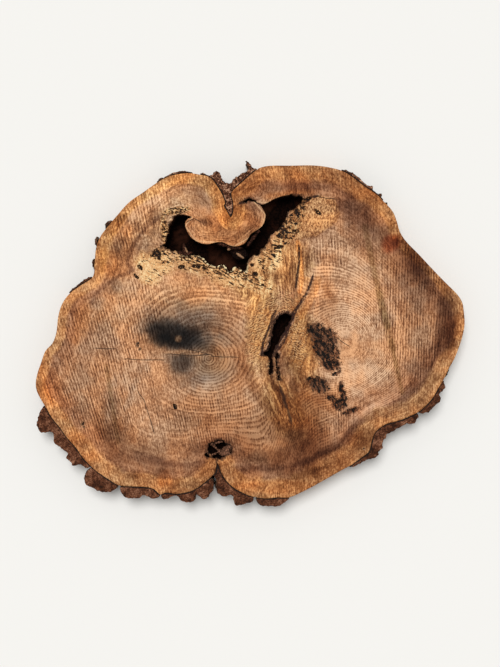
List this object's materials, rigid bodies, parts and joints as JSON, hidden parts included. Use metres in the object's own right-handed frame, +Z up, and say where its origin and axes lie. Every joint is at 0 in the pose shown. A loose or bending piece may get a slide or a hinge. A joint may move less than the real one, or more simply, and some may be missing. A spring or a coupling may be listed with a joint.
{
  "type": "wood slice",
  "caption": "Thick slice sawn across two trunks grown together, lying flat, with a curved rotted hollow, a narrow slot and stretches of bark along its edge.",
  "frame": {"origin": "middle of the slice's box, on the surface it lies on", "axes": "+X to the right and +Y up the sawn face as it is seen in the picture, +Z up, along the trunks and out of the sawn face"},
  "size_m": [1.201, 0.9714, 0.075],
  "materials": {
    "sawn_wood": "dry sawn end grain, brown heartwood and golden sapwood, with growth rings and stains",
    "bark": "rough, dark reddish brown, ridged along the trunk"
  },
  "bodies": {
    "root": {"wood": "sawn_wood", "bark_far_left": "bark", "bark_lower_left": "bark", "bark_foot_left": "bark", "bark_foot_middle": "bark", "bark_foot_right": "bark", "bark_foot_end": "bark", "bark_right_low": "bark", "bark_right_high": "bark", "bark_top_right": "bark", "bark_notch": "bark", "bark_top_left": "bark", "bark_shoulder": "bark"}
  },
  "joints": []
}
